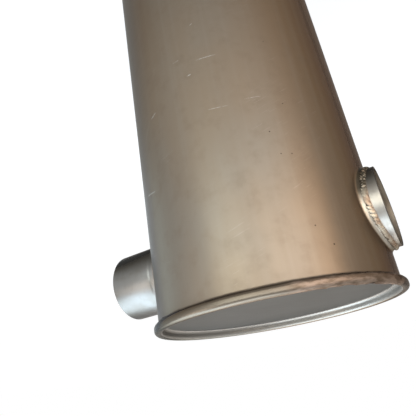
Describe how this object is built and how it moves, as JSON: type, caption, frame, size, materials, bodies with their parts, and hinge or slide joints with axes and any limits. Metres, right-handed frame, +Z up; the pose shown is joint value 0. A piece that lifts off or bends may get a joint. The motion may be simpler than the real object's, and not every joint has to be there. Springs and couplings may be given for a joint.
{
  "type": "muffler",
  "caption": "Large round exhaust muffler with rolled rims, recessed end plates, an inlet collar and an outlet stub opposite it near one end, and a baffled inside.",
  "frame": {"origin": "on the body's axis in the plane of the bottom rim, which the muffler stands on", "axes": "+Z up the body towards the end with the ports, +X out of the inlet collar, -X out of the outlet stub"},
  "size_m": [0.3705, 0.298, 0.686],
  "materials": {
    "shell_steel": "satin, with fine brush marks and light scratches",
    "cap_steel": "satin, pressed",
    "collar_steel": "satin, turned at the mouth",
    "stub_steel": "satin drawn tube",
    "weld_steel": "rippled bead with slight heat tint",
    "inner_steel": "plain mill finish"
  },
  "bodies": {
    "root": {"shell": "shell_steel", "shell_seam_weld": "weld_steel", "top_end_cap": "cap_steel", "bottom_end_cap": "cap_steel", "inlet_collar": "collar_steel", "inlet_weld": "weld_steel", "outlet_stub": "stub_steel", "outlet_weld": "weld_steel", "inlet_elbow": "inner_steel", "elbow_tacks": "weld_steel", "inlet_tube": "inner_steel", "inlet_tube_tacks": "weld_steel", "left_return_tube": "inner_steel", "right_return_tube": "inner_steel", "upper_baffle": "inner_steel", "middle_baffle": "inner_steel", "lower_baffle": "inner_steel", "upper_baffle_tacks": "weld_steel", "middle_baffle_tacks": "weld_steel", "lower_baffle_tacks": "weld_steel", "return_tube_tacks": "weld_steel", "tuning_tube": "inner_steel", "tuning_tube_tacks": "weld_steel"}
  },
  "joints": []
}
